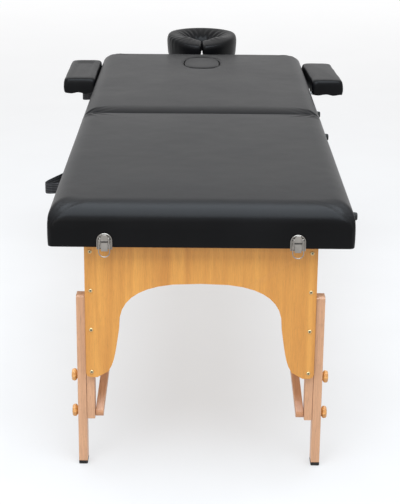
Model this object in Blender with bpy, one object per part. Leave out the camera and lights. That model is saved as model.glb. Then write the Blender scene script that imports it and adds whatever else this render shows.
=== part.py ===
"""Portable massage table: two upholstered halves hinged at a centre fold, on folding wooden leg frames.

Frame: X to the right, +Y from the foot end to the head end, +Z up, metres. The origin is on the floor,
under the middle of the whole table. Inside a half, u is the distance from the fold line towards its end.
"""

import math

import bmesh
import bpy
from mathutils import Matrix, Vector

# ---- driving dimensions --------------------------------------------------------------------------
TOP_HEIGHT = 0.660
HALF_LENGTH = 0.930
HALF_WIDTH = 0.350
EDGE_DEPTH = 0.097          # upholstered edge, top face to frame bottom
FOAM = 0.038
DECK = 0.005
CORNER = 0.030              # radius of the upholstered top's end corners, seen from above
SKIRT = 0.003               # cover material over the frame's sides
RAIL = 0.018                # thickness of the side and fold rails
END_RAIL = 0.012
GAP = 0.0004                # between touching pieces
FOLD_Y = -0.140             # fold line, so that the whole table is centred on the origin

FRAME_BOTTOM = TOP_HEIGHT - EDGE_DEPTH
DECK_TOP = TOP_HEIGHT - FOAM
DECK_BOTTOM = DECK_TOP - DECK
FOLD_AXIS_Z = FRAME_BOTTOM - 0.0025

LEG_SPLAY = math.radians(2.0)
LEG_PIVOT_U = HALF_LENGTH - 0.055
LEG_PIVOT_Z = FRAME_BOTTOM + 0.029
LEG_DEPTH = 0.035
UPPER_LEG_LENGTH = 0.473    # pivot to lower end
EXTENSION_TOP = 0.160       # pivot to the extension's upper end
LEG_REACH = LEG_PIVOT_Z / math.cos(LEG_SPLAY)
FOOT_CAP = 0.008
PANEL_THICKNESS = 0.008
AXLE_RADIUS = 0.005
KNOB_RADIUS = 0.0155
KNOB_THICKNESS = 0.014
KNOB_REACHES = (0.366, 0.458)
STAY_REACH = 0.462          # pivot to the stay's lower pin, and to its upper pin along the deck
STAY_LENGTH = STAY_REACH * math.sin((math.pi / 2 + LEG_SPLAY) / 2)
STAY_LEAN = 0.028
STAY_THICKNESS = 0.019
STAY_DEPTH = 0.020
BATTEN_DEPTH = 0.046

PLUG_U = 0.756
PLUG_HALF_X = 0.0605
PLUG_HALF_Y = 0.1005
PEG_RADIUS = 0.005
ARMREST_PEGS_U = (0.600, 0.800)
ARMREST_Z = (0.5935, 0.642)
ARMREST_U = (0.550, 0.857)
CRADLE_ROD_X = 0.075
CRADLE_ROD_Z = 0.6055
LATCH_X = 0.220

HALVES = {"foot": -1, "head": 1}
# the head leg frame is narrower by this much on each side, so that the two frames nest when folded
NEST = {"foot": 0.0, "head": 0.023}


# ---- helpers -------------------------------------------------------------------------------------
def clear_scene():
    for obj in list(bpy.data.objects):
        bpy.data.objects.remove(obj)


def material(name, color, roughness, metallic=0.0):
    found = bpy.data.materials.get(name)
    if found:
        return found
    made = bpy.data.materials.new(name)
    made.use_nodes = True
    shader = made.node_tree.nodes["Principled BSDF"]
    shader.inputs["Base Color"].default_value = (*color, 1.0)
    shader.inputs["Roughness"].default_value = roughness
    shader.inputs["Metallic"].default_value = metallic
    made.diffuse_color = (*color, 1.0)
    return made


BLACK_COVER = ((0.018, 0.018, 0.020), 0.45)
BEECH = ((0.62, 0.40, 0.24), 0.45)
VENEER = ((0.66, 0.34, 0.11), 0.40)
PLYWOOD = ((0.58, 0.42, 0.25), 0.60)
STEEL = ((0.55, 0.56, 0.58), 0.30, 1.0)
RUBBER = ((0.02, 0.02, 0.02), 0.80)
WEBBING = ((0.015, 0.015, 0.015), 0.85)
ALUMINIUM = ((0.62, 0.64, 0.66), 0.35, 1.0)


def along(half, u):
    """Y of a point at u from the fold line in this half."""
    return FOLD_Y + HALVES[half] * u


def finish_mesh(name, bm, look, origin=(0, 0, 0)):
    """Makes an object of a bmesh given in world coordinates, with its origin at a world point."""
    bmesh.ops.recalc_face_normals(bm, faces=bm.faces)
    bmesh.ops.translate(bm, verts=bm.verts, vec=-Vector(origin))
    mesh = bpy.data.meshes.new(name)
    bm.to_mesh(mesh)
    bm.free()
    obj = bpy.data.objects.new(name, mesh)
    obj.location = origin
    bpy.context.scene.collection.objects.link(obj)
    if look:
        mesh.materials.append(material(name + "_look", *look))
    mesh.shade_smooth()
    mesh.set_sharp_from_angle(angle=math.radians(35))
    return obj


def add_box(bm, low, high):
    made = bmesh.ops.create_cube(bm, size=1.0)["verts"]
    size = Vector(high) - Vector(low)
    middle = (Vector(high) + Vector(low)) / 2
    bmesh.ops.scale(bm, verts=made, vec=size)
    bmesh.ops.translate(bm, verts=made, vec=middle)
    return made


def half_box(bm, half, x, u, z):
    """A box from ranges of x, u and z in one half."""
    ys = sorted((along(half, u[0]), along(half, u[1])))
    return add_box(bm, (x[0], ys[0], z[0]), (x[1], ys[1], z[1]))


def bevel_edges(bm, chosen, width, segments):
    bmesh.ops.bevel(
        bm, geom=chosen, offset=width, segments=segments, profile=0.5, affect="EDGES", clamp_overlap=True
    )


def edges_along(bm, axis, keep=lambda middle: True):
    """Edges parallel to an axis whose middle passes a test."""
    found = []
    for edge in bm.edges:
        a, b = (vert.co for vert in edge.verts)
        way = (b - a).normalized()
        if abs(way[axis]) > 0.999 and keep((a + b) / 2):
            found.append(edge)
    return found


def add_cylinder(bm, start, end, radius, sides=16):
    start, end = Vector(start), Vector(end)
    way = end - start
    turn = way.to_track_quat("Z", "Y").to_matrix().to_4x4()
    place = Matrix.Translation((start + end) / 2) @ turn
    return bmesh.ops.create_cone(
        bm, cap_ends=True, segments=sides, radius1=radius, radius2=radius, depth=way.length, matrix=place
    )["verts"]


def extrude_outline(bm, outline, way):
    """A prism: a closed outline of points, extruded by a vector."""
    face = bm.faces.new([bm.verts.new(point) for point in outline])
    grown = bmesh.ops.extrude_face_region(bm, geom=[face])["geom"]
    moved = [item for item in grown if isinstance(item, bmesh.types.BMVert)]
    bmesh.ops.translate(bm, verts=moved, vec=way)


def boolean(obj, tool, operation="DIFFERENCE"):
    """Cuts or joins with a helper object, which isn't part of the model."""
    tool.hide_render = True
    tool.display_type = "WIRE"
    made = obj.modifiers.new(operation.title(), "BOOLEAN")
    made.operation = operation
    made.object = tool


def helper(name, build):
    bm = bmesh.new()
    build(bm)
    return finish_mesh(name, bm, None)


def sweep(bm, path, section, closed=False):
    """Rings of a section along a path. section(i) gives the ring's points about path[i], in world axes."""
    rings = [[bm.verts.new(point) for point in section(i)] for i in range(len(path))]
    count = len(rings[0])
    pairs = list(zip(rings, rings[1:])) + ([(rings[-1], rings[0])] if closed else [])
    for first, second in pairs:
        for k in range(count):
            bm.faces.new((first[k], first[(k + 1) % count], second[(k + 1) % count], second[k]))
    if not closed:
        bm.faces.new(list(reversed(rings[0])))
        bm.faces.new(rings[-1])


def sweep_round(bm, path, radius, sides=10, closed=False):
    """A round bar along a list of points."""
    count = len(path)

    def section(i):
        before = path[i - 1] if closed or i else path[0]
        after = path[(i + 1) % count] if closed or i < count - 1 else path[-1]
        way = (Vector(after) - Vector(before)).normalized()
        turn = way.to_track_quat("Z", "X")
        angles = [2 * math.pi * k / sides for k in range(sides)]
        return [
            Vector(path[i]) + turn @ Vector((radius * math.cos(a), radius * math.sin(a), 0)) for a in angles
        ]

    sweep(bm, path, section, closed)


def ellipse(centre, half_x, half_y, z, steps):
    turns = [2 * math.pi * k / steps for k in range(steps)]
    return [(centre[0] + half_x * math.cos(a), centre[1] + half_y * math.sin(a), z) for a in turns]


# ---- the padded top ------------------------------------------------------------------------------
def round_end_corners(bm, half, radius):
    """Rounds the two upright edges furthest from the fold."""
    far = max(abs(vert.co.y - FOLD_Y) for vert in bm.verts)
    corners = edges_along(bm, 2, lambda m: abs(abs(m.y - FOLD_Y) - far) < 0.001)
    bevel_edges(bm, corners, radius, 4)


def pad(half):
    """Foam and cover of one half: a block with rounded edges whose skirt hangs over the frame's sides."""
    bm = bmesh.new()
    half_box(bm, half, (-HALF_WIDTH, HALF_WIDTH), (0.0008, HALF_LENGTH), (FRAME_BOTTOM, TOP_HEIGHT))
    round_end_corners(bm, half, CORNER)
    rim = [e for e in bm.edges if all(abs(v.co.z - TOP_HEIGHT) < 1e-6 for v in e.verts)]
    bevel_edges(bm, rim, 0.014, 3)
    obj = finish_mesh(f"{half}_pad", bm, BLACK_COVER)
    inner = HALF_WIDTH - SKIRT

    def hollow(b):
        levels = (FRAME_BOTTOM - 0.05, DECK_TOP + GAP)
        half_box(b, half, (-inner, inner), (0.0036, HALF_LENGTH - SKIRT), levels)
        round_end_corners(b, half, CORNER - SKIRT)

    boolean(obj, helper(f"{half}_pad_cavity", hollow))
    if half == "head":
        boolean(obj, helper("pad_face_hole", lambda b: face_hole(b, 0.0015, TOP_HEIGHT + 0.05)))
        boolean(obj, helper("pad_peg_holes", lambda b: peg_holes(b)))
    return obj


def face_hole(bm, margin, top):
    centre = (0, along("head", PLUG_U))
    outline = ellipse(centre, PLUG_HALF_X + margin, PLUG_HALF_Y + margin, DECK_BOTTOM - 0.02, 32)
    extrude_outline(bm, outline, (0, 0, top - DECK_BOTTOM + 0.02))


def peg_holes(bm):
    """Holes for the armrest pegs in both sides and for the cradle rods in the head end."""
    radius = PEG_RADIUS + 0.0006
    for side in (-1, 1):
        for u in ARMREST_PEGS_U:
            y = along("head", u)
            add_cylinder(bm, (side * 0.31, y, PEG_Z), (side * 0.37, y, PEG_Z), radius, 12)
        rod = (side * CRADLE_ROD_X, along("head", 0.905), CRADLE_ROD_Z)
        end = (side * CRADLE_ROD_X, along("head", 0.945), CRADLE_ROD_Z)
        add_cylinder(bm, rod, end, radius, 12)


PEG_Z = ARMREST_Z[0] - PEG_RADIUS - GAP


def deck(half):
    """Plywood deck, with the glued batten that carries the stays' upper pins."""
    bm = bmesh.new()
    wide = HALF_WIDTH - SKIRT - GAP
    half_box(bm, half, (-wide, wide), (0.004, HALF_LENGTH - SKIRT - GAP), (DECK_BOTTOM, DECK_TOP))
    round_end_corners(bm, half, CORNER - SKIRT - GAP)
    obj = finish_mesh(f"{half}_deck", bm, PLYWOOD)
    reach = BATTEN_HALF - NEST[half]
    middle = LEG_PIVOT_U - STAY_REACH
    batten = helper(
        f"{half}_batten",
        lambda b: half_box(
            b, half, (-reach, reach), (middle - 0.02, middle + 0.02),
            (DECK_BOTTOM - BATTEN_DEPTH, DECK_BOTTOM + 0.002),
        ),
    )
    boolean(obj, batten, "UNION")
    if half == "head":
        boolean(obj, helper("deck_face_hole", lambda b: face_hole(b, -0.010, DECK_TOP + 0.02)))
    return obj


def frame(half):
    """Rails round the underside of one half."""
    bm = bmesh.new()
    outer_x = HALF_WIDTH - SKIRT - GAP
    outer_u = HALF_LENGTH - SKIRT - GAP
    levels = (FRAME_BOTTOM, DECK_BOTTOM - GAP)
    half_box(bm, half, (-outer_x, outer_x), (0.004, outer_u), levels)
    round_end_corners(bm, half, CORNER - SKIRT - GAP)
    obj = finish_mesh(f"{half}_frame", bm, PLYWOOD)
    inner_x = outer_x - RAIL
    hollow = helper(
        f"{half}_frame_hollow",
        lambda b: half_box(
            b, half, (-inner_x, inner_x), (0.004 + RAIL, outer_u - END_RAIL),
            (levels[0] - 0.05, levels[1] + 0.05),
        ),
    )
    boolean(obj, hollow)
    if half == "head":
        boolean(obj, helper("frame_peg_holes", lambda b: peg_holes(b)))
    return obj


def hinge_leaf(half):
    """Leaf of the piano hinge under the fold rails. The knuckles of the two leaves alternate."""
    bm = bmesh.new()
    reach = 0.300
    half_box(bm, half, (-reach, reach), (0.0010, 0.022), (FOLD_AXIS_Z + 0.0008, FRAME_BOTTOM - GAP))
    obj = finish_mesh(f"{half}_hinge_leaf", bm, STEEL, (0, FOLD_Y, FOLD_AXIS_Z))
    step = 2 * reach / 5
    first = 0 if half == "foot" else 1

    def knuckles(b):
        for k in range(first, 5, 2):
            low = -reach + k * step + 0.0005
            high = -reach + (k + 1) * step - 0.0005
            add_cylinder(b, (low, FOLD_Y, FOLD_AXIS_Z), (high, FOLD_Y, FOLD_AXIS_Z), 0.0021, 12)

    boolean(obj, helper(f"{half}_knuckles", knuckles), "UNION")
    gaps = helper(
        f"{half}_leaf_notches",
        lambda b: [
            half_box(
                b, half, (-reach + k * step - 0.0005, -reach + (k + 1) * step + 0.0005),
                (-0.003, 0.0030), (FOLD_AXIS_Z - 0.003, FRAME_BOTTOM),
            )
            for k in range(1 - first, 5, 2)
        ],
    )
    boolean(obj, gaps)


def face_plug():
    """The upholstered oval that fills the face hole and rests on the deck's ledge."""
    bm = bmesh.new()
    centre = (0, along("head", PLUG_U))
    outline = ellipse(centre, PLUG_HALF_X, PLUG_HALF_Y, DECK_TOP + GAP, 32)
    extrude_outline(bm, outline, (0, 0, FOAM - GAP))
    rim = [e for e in bm.edges if all(abs(v.co.z - TOP_HEIGHT) < 1e-6 for v in e.verts)]
    bevel_edges(bm, rim, 0.004, 2)
    finish_mesh("face_hole_plug", bm, BLACK_COVER, (0, centre[1], DECK_TOP))


HANDLE_U = {"foot": (0.515, 0.400), "head": (0.613, 0.728)}     # steep end, then long end
HANDLE_REACH = 0.050
HANDLE_TAPE = 0.0025
HANDLE_Z = (FRAME_BOTTOM + 0.0015, FRAME_BOTTOM + 0.0265)
# out, and run towards the long end, as shares of the reach and of the whole length
HANDLE_BENDS = ((0.0, 0.0), (0.35, 0.010), (0.70, 0.025), (0.90, 0.060), (1.0, 0.130), (0.98, 0.200))
HANDLE_BENDS += ((0.88, 0.300), (0.60, 0.530), (0.30, 0.770), (0.0, 1.0))


def handle(half):
    """A drooping loop of webbing on the left side, pulled towards one of its ends."""
    steep, far = HANDLE_U[half]
    wall = -HALF_WIDTH - GAP - HANDLE_TAPE / 2
    length = far - steep
    path = [(wall - HANDLE_REACH * out, along(half, steep + length * run)) for out, run in HANDLE_BENDS]
    bm = bmesh.new()

    def section(i):
        before = Vector(path[max(i - 1, 0)])
        after = Vector(path[min(i + 1, len(path) - 1)])
        way = (after - before).normalized()
        side = Vector((-way.y, way.x)) * HANDLE_TAPE / 2
        droop = -0.005 * HANDLE_BENDS[i][0]
        here = Vector(path[i])
        corners = ((side, HANDLE_Z[0]), (side, HANDLE_Z[1]), (-side, HANDLE_Z[1]), (-side, HANDLE_Z[0]))
        return [(here.x + s.x, here.y + s.y, z + droop) for s, z in corners]

    sweep(bm, path, section)
    finish_mesh(f"{half}_carry_handle", bm, WEBBING)


BUMPER_RADIUS = 0.010
BUMPER_REACH = 0.0125
BUMPER_Z = FRAME_BOTTOM + 0.049
BUMPERS_U = {"foot": {"inner": 0.090, "outer": 0.838}, "head": {"inner": 0.190, "outer": 0.838}}


def bumper(half, name):
    """A round rubber bumper on the right side, for standing the folded table on."""
    bm = bmesh.new()
    y = along(half, BUMPERS_U[half][name])
    near = HALF_WIDTH + GAP
    outer = near + BUMPER_REACH
    add_cylinder(bm, (near, y, BUMPER_Z), (outer, y, BUMPER_Z), BUMPER_RADIUS, 16)
    rim = [e for e in bm.edges if all(abs(v.co.x - outer) < 1e-5 for v in e.verts)]
    bevel_edges(bm, rim, 0.003, 2)
    finish_mesh(f"{half}_bumper_{name}", bm, RUBBER)


# ---- leg frames ----------------------------------------------------------------------------------
class LegFrame:
    """Places points of one leg frame: reach runs from the pivot down the leg, out points to the end."""

    def __init__(self, half):
        self.half = half
        self.sign = HALVES[half]
        self.pivot = Vector((0, along(half, LEG_PIVOT_U), LEG_PIVOT_Z))
        self.down = Vector((0, self.sign * math.sin(LEG_SPLAY), -math.cos(LEG_SPLAY)))
        self.out = Vector((0, self.sign * math.cos(LEG_SPLAY), math.sin(LEG_SPLAY)))

    def point(self, x, reach, out=0.0):
        return self.pivot + Vector((x, 0, 0)) + self.down * reach + self.out * out

    def x_range(self, side, inner, outer):
        """A signed x range, moved in by the nesting allowance."""
        shift = NEST[self.half]
        return sorted((side * (inner - shift), side * (outer - shift)))


UPPER_X = (0.2505, 0.2695)
EXTENSION_X = (0.2700, 0.2910)
KNOB_X = (0.2915, 0.2915 + KNOB_THICKNESS)
LOWER_STAY_X = (0.2500 - STAY_THICKNESS, 0.2500)
UPPER_STAY_X = (LOWER_STAY_X[0] - STAY_LEAN - 0.0005 - STAY_THICKNESS, LOWER_STAY_X[0] - STAY_LEAN - 0.0005)
BATTEN_HALF = UPPER_STAY_X[0] - 0.001
PANEL_HALF = 0.2695
ARCH_HALF = 0.1905
ARCH_CROWN = 0.127          # pivot to the arch's top
ARCH_SHOULDER = 0.240       # pivot to where the arch's sides start to flare
PANEL_BOTTOM = 0.362


def bar_outline(legs, x, low, high, depth, rounded):
    """Side outline of a leg at one x: straight sides, and a half-round top where asked."""
    half = depth / 2
    points = [legs.point(x, high, half), legs.point(x, high, -half)]
    if rounded:
        for k in range(9):
            a = math.pi * k / 8
            points.append(legs.point(x, low - half * math.sin(a), -half * math.cos(a)))
    else:
        chamfer = 0.005
        points += [
            legs.point(x, low + chamfer, -half), legs.point(x, low, -half + chamfer),
            legs.point(x, low, half - chamfer), legs.point(x, low + chamfer, half),
        ]
    return points


def upper_leg(legs, side, name):
    low, high = legs.x_range(side, *UPPER_X)
    bm = bmesh.new()
    outline = bar_outline(legs, low, 0.0, UPPER_LEG_LENGTH, LEG_DEPTH, True)
    extrude_outline(bm, outline, (high - low, 0, 0))
    obj = finish_mesh(f"{legs.half}_upper_leg_{name}", bm, BEECH, legs.pivot)
    bore = helper(
        f"{legs.half}_leg_bore_{name}",
        lambda b: add_cylinder(
            b, legs.point(low - 0.01, 0), legs.point(high + 0.01, 0), AXLE_RADIUS + 0.0005, 16
        ),
    )
    boolean(obj, bore)


def extension_leg(legs, side, name):
    low, high = legs.x_range(side, *EXTENSION_X)
    bm = bmesh.new()
    outline = bar_outline(legs, low, EXTENSION_TOP, LEG_REACH - FOOT_CAP - GAP, LEG_DEPTH, False)
    extrude_outline(bm, outline, (high - low, 0, 0))
    finish_mesh(f"{legs.half}_extension_leg_{name}", bm, BEECH, legs.point(low, LEG_REACH))


def rubber_foot(legs, side, name):
    """The cap under an extension leg. Its sole is level with the floor."""
    low, high = legs.x_range(side, *EXTENSION_X)
    bm = bmesh.new()
    half = LEG_DEPTH / 2
    top = [legs.point(low, LEG_REACH - FOOT_CAP, -half), legs.point(low, LEG_REACH - FOOT_CAP, half)]
    sole = [Vector((point.x, point.y, 0.0)) for point in reversed(top)]
    extrude_outline(bm, top + sole, (high - low, 0, 0))
    bevel_edges(bm, [e for e in bm.edges if all(v.co.z < 1e-6 for v in e.verts)], 0.002, 1)
    finish_mesh(f"{legs.half}_rubber_foot_{name}", bm, RUBBER)


def knob(legs, side, name, reach, place):
    """A scalloped hand knob that clamps the extension leg."""
    low, high = legs.x_range(side, *KNOB_X)
    bm = bmesh.new()
    steps = 24
    outline = []
    for k in range(steps):
        a = 2 * math.pi * k / steps
        radius = KNOB_RADIUS - 0.0012 * (1 - math.cos(8 * a)) / 2
        outline.append(legs.point(low, reach + radius * math.cos(a), radius * math.sin(a)))
    extrude_outline(bm, outline, (high - low, 0, 0))
    outer = high if side > 0 else low
    rim = [e for e in bm.edges if all(abs(v.co.x - outer) < 1e-5 for v in e.verts)]
    bevel_edges(bm, rim, 0.003, 1)
    middle = legs.point((low + high) / 2, reach)
    finish_mesh(f"{legs.half}_knob_{name}_{place}", bm, BEECH, middle)


def arch_height(x, half_width):
    """Reach of the arch's upper edge at x: a superellipse between the panel's two legs."""
    power = 2.7
    share = min(abs(x) / half_width, 1.0)
    return (1 - share ** power) ** (1 / power)


def arch_flare(share):
    """How far the arch's side has moved outwards at a share of its way down from the shoulder."""
    return 0.018 * share + 0.034 * (1 - math.sqrt(1 - share ** 5))


def panel(legs):
    """The end panel: a thin veneered board with an arched opening, screwed to the upper legs."""
    shift = NEST[legs.half]
    half, arch = PANEL_HALF - shift, ARCH_HALF - shift
    top = LEG_PIVOT_Z - FRAME_BOTTOM + 0.0025
    corner = 0.010
    cut = 0.3 * corner
    side_points = [(half, top), (half, PANEL_BOTTOM - corner)]
    side_points += [(half - cut, PANEL_BOTTOM - cut), (half - corner, PANEL_BOTTOM)]
    flare_steps, arch_steps = 8, 9
    for k in range(flare_steps):
        share = 1 - k / flare_steps
        reach = ARCH_SHOULDER + (PANEL_BOTTOM - ARCH_SHOULDER) * share
        side_points.append((arch + arch_flare(share), reach))
    for k in range(arch_steps + 1):
        a = math.pi / 2 * k / arch_steps
        x = arch * math.cos(a) ** 0.62
        side_points.append((x, ARCH_SHOULDER - (ARCH_SHOULDER - ARCH_CROWN) * arch_height(x, arch)))
    right = side_points
    left = [(-x, reach) for x, reach in reversed(side_points[:-1])]
    bm = bmesh.new()
    out = LEG_DEPTH / 2 + GAP
    outline = [legs.point(x, reach, out) for x, reach in right + left]
    extrude_outline(bm, outline, legs.out * PANEL_THICKNESS)
    finish_mesh(f"{legs.half}_end_panel", bm, VENEER, legs.pivot)


def axle(legs):
    """The steel rod that both upper legs of a frame turn on."""
    reach = HALF_WIDTH - SKIRT - GAP - RAIL - GAP
    bm = bmesh.new()
    add_cylinder(bm, legs.point(-reach, 0), legs.point(reach, 0), AXLE_RADIUS, 16)
    finish_mesh(f"{legs.half}_leg_axle", bm, STEEL, legs.pivot)


def stay_bar(name, start, end, thickness, look, origin):
    """A flat wooden link between two pins, with half-round ends. start and end are inner-face points."""
    along_bar = (end - start)
    flat = Vector((0, along_bar.y, along_bar.z)).normalized()
    across = Vector((0, -flat.z, flat.y))
    length = Vector((0, along_bar.y, along_bar.z)).length
    half = STAY_DEPTH / 2
    outline = []
    for centre, turn in ((0.0, math.pi / 2), (length, -math.pi / 2)):
        for k in range(7):
            a = turn + math.pi * k / 6
            run = centre + half * math.cos(a)
            outline.append((run, half * math.sin(a)))
    bm = bmesh.new()
    points = []
    for run, rise in outline:
        share = min(max(run / length, 0.0), 1.0)
        place = Vector((start.x + (end.x - start.x) * share, start.y, start.z))
        points.append(place + flat * run + across * rise)
    extrude_outline(bm, points, (thickness, 0, 0))
    bmesh.ops.triangulate(bm, faces=[f for f in bm.faces if len(f.verts) > 4])
    finish_mesh(name, bm, look, origin)


def stays(legs, side, name):
    """The folding brace of one leg: a link on the leg and a link under the deck, which meet half way."""
    shift = NEST[legs.half]
    lower_pin = legs.point(0, STAY_REACH)
    upper_pin = Vector((0, along(legs.half, LEG_PIVOT_U - STAY_REACH), LEG_PIVOT_Z))
    middle = (lower_pin + upper_pin) / 2
    low = min(side * (LOWER_STAY_X[0] - shift), side * (LOWER_STAY_X[1] - shift))
    lean = Vector((-side * STAY_LEAN, 0, 0))
    start = lower_pin + Vector((low, 0, 0))
    end = middle + Vector((low, 0, 0)) + lean
    stay_bar(f"{legs.half}_lower_stay_{name}", start, end, STAY_THICKNESS, BEECH, lower_pin)
    low = min(side * (UPPER_STAY_X[0] - shift), side * (UPPER_STAY_X[1] - shift))
    start = upper_pin + Vector((low, 0, 0))
    end = middle + Vector((low, 0, 0))
    stay_bar(f"{legs.half}_upper_stay_{name}", start, end, STAY_THICKNESS, BEECH, upper_pin)


def leg_frame(half):
    legs = LegFrame(half)
    panel(legs)
    axle(legs)
    for side, name in ((-1, "left"), (1, "right")):
        upper_leg(legs, side, name)
        extension_leg(legs, side, name)
        rubber_foot(legs, side, name)
        stays(legs, side, name)
        for reach, place in zip(KNOB_REACHES, ("upper", "lower")):
            knob(legs, side, name, reach, place)


# ---- latches -------------------------------------------------------------------------------------
LATCH_PIVOT_Z = FRAME_BOTTOM + 0.010
LATCH_PIVOT_OUT = 0.0055    # from the end face


def latch(side, name):
    """Draw latch on the foot end: base plate with ears, over-centre lever and wire bail."""
    face = along("foot", HALF_LENGTH) - GAP
    x = side * LATCH_X
    z = LATCH_PIVOT_Z
    pivot = (x, face - LATCH_PIVOT_OUT, z)
    bm = bmesh.new()
    add_box(bm, (x - 0.0175, face - 0.0015, FRAME_BOTTOM + 0.001), (x + 0.0175, face, FRAME_BOTTOM + 0.034))
    bevel_edges(bm, edges_along(bm, 1, lambda m: m.z > z), 0.008, 3)
    base = finish_mesh(f"latch_base_{name}", bm, STEEL)
    ears = helper(
        f"latch_ears_{name}",
        lambda b: [
            add_box(b, (x + e - 0.001, face - 0.009, z - 0.005), (x + e + 0.001, face - 0.001, z + 0.005))
            for e in (-0.0155, 0.0155)
        ],
    )
    boolean(base, ears, "UNION")
    bm = bmesh.new()
    outline = [
        (x - 0.0138, face - 0.0038, z - 0.0028), (x - 0.0138, face - 0.0075, z - 0.0028),
        (x - 0.0138, face - 0.0085, z + 0.012), (x - 0.0138, face - 0.0060, z + 0.0235),
        (x - 0.0138, face - 0.0038, z + 0.0235), (x - 0.0138, face - 0.0050, z + 0.012),
    ]
    extrude_outline(bm, outline, (0.0276, 0, 0))
    finish_mesh(f"latch_lever_{name}", bm, STEEL, pivot)
    wire = 0.0012
    reach = 0.0125
    out = face - 0.0107
    low = z - 0.029
    path = [(x - reach, out, z + 0.002), (x - reach, out, z - 0.012), (x - reach, out, low + 0.004)]
    path += [(x - reach + 0.004, out, low), (x + reach - 0.004, out, low), (x + reach, out, low + 0.004)]
    path += [(x + reach, out, z - 0.012), (x + reach, out, z + 0.002)]
    bm = bmesh.new()
    sweep_round(bm, path, wire, 8)
    finish_mesh(f"latch_bail_{name}", bm, STEEL, (x, out, z + 0.002))


# ---- armrests and face cradle --------------------------------------------------------------------
ARMREST_X = {"left": (-0.456, -0.354), "right": (0.374, 0.468)}
ARMREST_PEG_END = 0.318
ARMREST_BEND_X = {"left": 0.415, "right": 0.431}


def armrest(name):
    low, high = ARMREST_X[name]
    side = 1 if low > 0 else -1
    bm = bmesh.new()
    half_box(bm, "head", (low, high), ARMREST_U, ARMREST_Z)
    bevel_edges(bm, edges_along(bm, 2), 0.012, 3)
    rim = [e for e in bm.edges if all(abs(v.co.z - ARMREST_Z[1]) < 1e-6 for v in e.verts)]
    bevel_edges(bm, rim, 0.010, 2)
    finish_mesh(f"{name}_armrest_pad", bm, BLACK_COVER)
    inner = side * ARMREST_PEG_END
    outer = side * ARMREST_BEND_X[name]
    near, far = (along("head", u) for u in ARMREST_PEGS_U)
    turn = 0.012
    bend = 0.3 * turn
    before_turn, in_turn = outer - side * turn, outer - side * bend
    run = [(inner, near), (before_turn, near), (in_turn, near + bend), (outer, near + turn)]
    run += [(outer, far - turn), (in_turn, far - bend), (before_turn, far), (inner, far)]
    path = [(x, y, PEG_Z) for x, y in run]
    bm = bmesh.new()
    sweep_round(bm, path, PEG_RADIUS - 0.0002, 12)
    finish_mesh(f"{name}_armrest_bracket", bm, STEEL)


CRADLE_U = 1.090            # middle of the horseshoe
CRADLE_HALF = (0.088, 0.092)
CRADLE_GAP = math.radians(13)
TILT_U = 0.968
TILT_Z = 0.6235
CUSHION_TOP = 0.703


def horseshoe(bm, width, low, high, chamfer):
    """A horseshoe with its opening towards the table, swept round an oval."""
    steps = 20
    path = []
    for k in range(steps + 1):
        a = -math.pi / 2 + CRADLE_GAP + (2 * math.pi - 2 * CRADLE_GAP) * k / steps
        y = along("head", CRADLE_U + CRADLE_HALF[1] * math.sin(a))
        path.append(Vector((CRADLE_HALF[0] * math.cos(a), y, 0)))

    def section(i):
        before, after = path[max(i - 1, 0)], path[min(i + 1, steps)]
        way = (after - before).normalized()
        side = Vector((way.y, -way.x, 0))
        half = width / 2
        ring = [(-half, low), (half, low), (half, high - chamfer), (half - chamfer, high)]
        ring += [(-half + chamfer, high), (-half, high - chamfer)]
        return [path[i] + side * s + Vector((0, 0, z)) for s, z in ring]

    sweep(bm, path, section)


def face_cradle():
    bm = bmesh.new()
    bar_u = TILT_U
    z = CRADLE_ROD_Z
    x = CRADLE_ROD_X
    path = [(-x, along("head", 0.865), z), (-x, along("head", bar_u - 0.012), z)]
    path += [(-x + 0.004, along("head", bar_u - 0.004), z), (-x + 0.012, along("head", bar_u), z)]
    path += [(-p[0], p[1], p[2]) for p in reversed(path)]
    sweep_round(bm, path, PEG_RADIUS - 0.0002, 12)
    rods = finish_mesh("cradle_rods", bm, ALUMINIUM)
    lugs = helper(
        "cradle_lugs",
        lambda b: [
            half_box(b, "head", (sx - 0.004, sx + 0.004), (bar_u - 0.009, bar_u + 0.009), (z, TILT_Z))
            for sx in (-0.03, 0.03)
        ],
    )
    boolean(rods, lugs, "UNION")
    origin = (0, along("head", TILT_U), TILT_Z)
    bm = bmesh.new()
    horseshoe(bm, 0.060, TILT_Z + 0.0085, TILT_Z + 0.0165, 0.001)
    platform = finish_mesh("cradle_platform", bm, PLYWOOD, origin)
    arms = helper(
        "cradle_arms",
        lambda b: [
            add_box(
                b, (sx - 0.004, along("head", TILT_U - 0.008), TILT_Z - 0.008),
                (sx + 0.004, along("head", CRADLE_U - 0.06), TILT_Z + 0.010),
            )
            for sx in (-0.0385, 0.0385)
        ],
    )
    boolean(platform, arms, "UNION")
    bm = bmesh.new()
    horseshoe(bm, 0.080, TILT_Z + 0.0170, CUSHION_TOP, 0.014)
    finish_mesh("cradle_cushion", bm, BLACK_COVER, origin)


def main():
    clear_scene()
    for half in HALVES:
        pad(half)
        deck(half)
        frame(half)
        hinge_leaf(half)
        handle(half)
        bumper(half, "inner")
        bumper(half, "outer")
        leg_frame(half)
    face_plug()
    for side, name in ((-1, "left"), (1, "right")):
        latch(side, name)
        armrest(name)
    face_cradle()


main()
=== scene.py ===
"""Looks of the portable massage table: upholstery, wood, fittings, stage, light and camera.

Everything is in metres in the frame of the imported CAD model. The foot end faces -Y.
"""

import math

import bmesh
import bpy
from mathutils import Matrix, Vector, noise


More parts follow.
